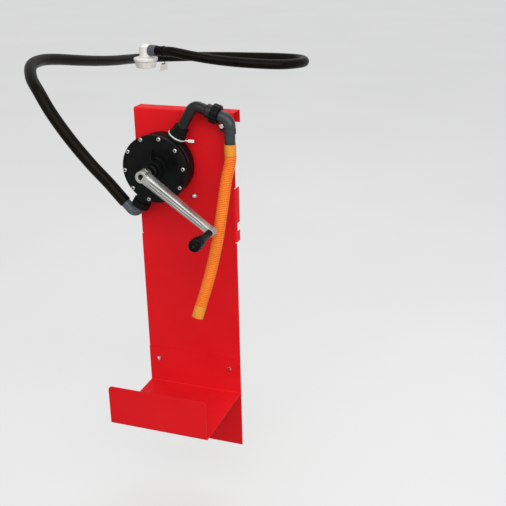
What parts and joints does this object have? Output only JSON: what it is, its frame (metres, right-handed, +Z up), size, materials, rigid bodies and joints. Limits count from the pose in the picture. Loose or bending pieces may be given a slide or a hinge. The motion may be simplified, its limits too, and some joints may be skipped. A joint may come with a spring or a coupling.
{
  "type": "rotary hand transfer pump",
  "caption": "Hand crank rotary vane pump on a red hanging plate with a jug shelf, with a ribbed delivery hose and a suction hose to a tank coupler.",
  "frame": {"origin": "on the plate's back face at the underside of the hook, in the middle of the plate's width, where the hook bears on the rail that carries it", "axes": "+X to the right, -Y towards the person who turns the crank, +Z up"},
  "size_m": [0.6289, 1.1877, 0.9794],
  "materials": {
    "red_coat": "gloss powder coat",
    "pump_plastic": "black moulded, half gloss",
    "pipe_plastic": "charcoal moulded, satin",
    "grey_plastic": "slate grey moulded, satin",
    "white_plastic": "natural white moulded, satin",
    "acetal": "machined",
    "orange_hose": "flexible, ribbed",
    "black_hose": "smooth, half gloss",
    "seal_rubber": "matte",
    "zinc": "bright zinc plate",
    "steel": "bright",
    "aluminium": "cast, bright"
  },
  "bodies": {
    "frame": {"mounting_plate": "red_coat", "shelf_bracket": "red_coat", "shelf_bolt_1": "zinc", "shelf_bolt_2": "zinc", "shelf_nut_1": "zinc", "shelf_nut_2": "zinc", "pump_bolt_1": "zinc", "pump_bolt_2": "zinc", "pump_bolt_3": "zinc", "clip_bolt": "zinc", "clip_nut": "zinc", "plate_bolt": "zinc", "plate_nut": "zinc", "cover_screw_01": "steel", "cover_screw_02": "steel", "cover_screw_03": "steel", "cover_screw_04": "steel", "cover_screw_05": "steel", "cover_screw_06": "steel", "cover_screw_07": "steel", "cover_screw_08": "steel", "cover_screw_09": "steel", "cover_screw_10": "steel", "outlet_collar": "pump_plastic", "pump_body": "pump_plastic", "front_cover": "pump_plastic", "gland_nut": "pump_plastic", "union_nut": "pump_plastic", "clip_spacer": "pump_plastic", "inlet_nut": "pump_plastic", "cover_gasket": "seal_rubber", "shaft_seal": "seal_rubber", "outlet_seal": "seal_rubber", "union_seal": "seal_rubber", "inlet_seal": "seal_rubber", "coupler_gasket": "seal_rubber", "rear_bush": "acetal", "front_bush": "acetal", "riser_pipe": "pipe_plastic", "spout_elbow": "pipe_plastic", "spout_clip": "pipe_plastic", "inlet_elbow": "grey_plastic", "coupler_elbow": "grey_plastic", "delivery_hose": "orange_hose", "suction_hose": "black_hose", "coupler_body": "white_plastic", "outlet_tie": "white_plastic", "hose_tie": "white_plastic"},
    "crank": {"shaft": "steel", "rotor": "pump_plastic", "vane_a": "acetal", "vane_b": "acetal", "vane_spring_a": "steel", "vane_spring_b": "steel", "crank_arm": "aluminium", "crank_set_screw": "steel", "grip_pin": "steel"},
    "grip": {"grip": "pump_plastic"}
  },
  "joints": [
    {"name": "crank_turn", "type": "hinge", "parent": "frame", "child": "crank", "pos_m": [-0.046, 0, -0.125], "axis": [0, -1, 0], "continuous": true},
    {"name": "grip_spin", "type": "hinge", "parent": "crank", "child": "grip", "pos_m": [0.11682, 0, -0.24114], "axis": [0, -1, 0], "continuous": true}
  ]
}
